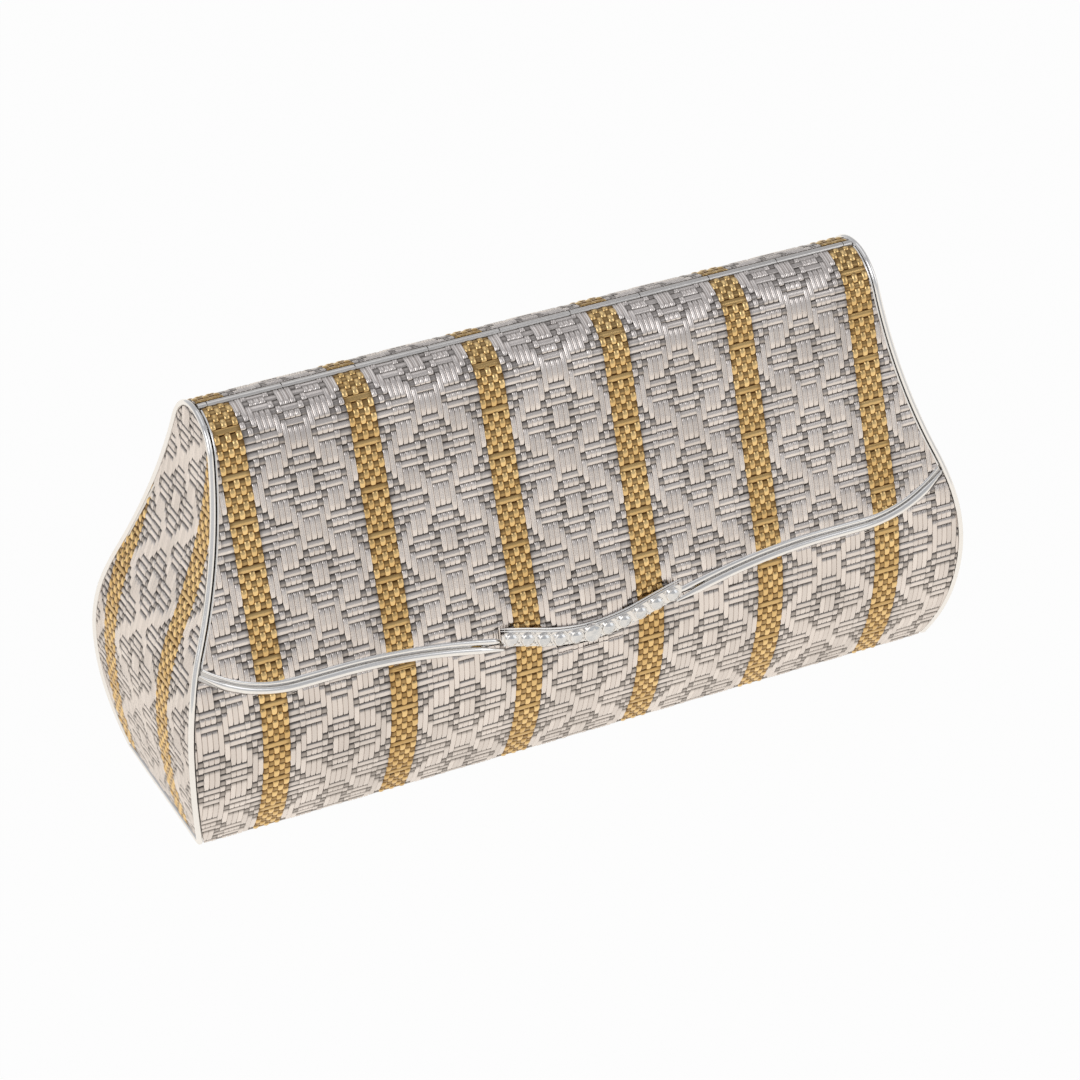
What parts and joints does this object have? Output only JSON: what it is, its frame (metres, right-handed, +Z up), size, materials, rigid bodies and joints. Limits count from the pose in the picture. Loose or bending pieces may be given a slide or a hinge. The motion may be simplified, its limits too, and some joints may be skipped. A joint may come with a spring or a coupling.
{
  "type": "minaudiere",
  "caption": "Rigid woven-metal evening bag with a crest-hinged front lid, a sprung stone-set thumbpiece catch, wire-framed ends and a lined inside",
  "frame": {"origin": "middle of the flat woven base, on the surface it stands on", "axes": "+X along the length to the right seen from the front, -Y to the front, +Z up"},
  "size_m": [0.1746, 0.0549, 0.0902],
  "materials": {
    "woven_wire": "flat wire woven in white metal with yellow stripes",
    "lining_sheet": "satin gilt sheet",
    "polished_wire": "polished round wire",
    "hinge_metal": "polished",
    "catch_metal": "satin",
    "spring_steel": "spring temper",
    "setting_metal": "polished",
    "clear_stone": "brilliant cut",
    "bezel_metal": "polished",
    "mirror_plate": "silvered glass"
  },
  "bodies": {
    "case": {"back_weave": "woven_wire", "front_weave": "woven_wire", "base_weave": "woven_wire", "left_end_weave": "woven_wire", "right_end_weave": "woven_wire", "back_liner": "lining_sheet", "front_liner": "lining_sheet", "base_liner": "lining_sheet", "left_end_liner": "lining_sheet", "right_end_liner": "lining_sheet", "left_end_frame": "polished_wire", "right_end_frame": "polished_wire", "case_hinge_leaf": "hinge_metal", "hinge_pin": "hinge_metal", "mouth_lip": "catch_metal", "strike_plate": "catch_metal", "strike_rivets": "catch_metal"},
    "lid": {"lid_weave": "woven_wire", "lid_liner": "lining_sheet", "lid_hinge_leaf": "hinge_metal", "lid_edge_wire_left": "polished_wire", "lid_edge_wire_right": "polished_wire", "lower_rim_wire_left": "polished_wire", "lower_rim_wire_right": "polished_wire", "latch_guide_left": "catch_metal", "latch_guide_right": "catch_metal", "spring_stop": "catch_metal", "latch_spring": "spring_steel", "latch_cover": "catch_metal", "cover_screws": "catch_metal", "mirror_bezel": "bezel_metal", "mirror_glass": "mirror_plate"},
    "thumbpiece": {"thumbpiece_setting": "setting_metal", "thumbpiece_stones": "clear_stone", "latch_slide": "catch_metal", "latch_rivets": "catch_metal"}
  },
  "joints": [
    {"name": "lid_hinge", "type": "hinge", "parent": "case", "child": "lid", "pos_m": [0, 0, 0.0894], "axis": [-1, 0, 0], "range_deg": [0, 110]},
    {"name": "thumbpiece_lift", "type": "slide", "parent": "lid", "child": "thumbpiece", "axis": [0, 0, 1], "range_m": [0, 0.0018], "stiffness_N_per_m": 400, "springref_m": -0.001, "deforming": ["latch_spring"]}
  ]
}
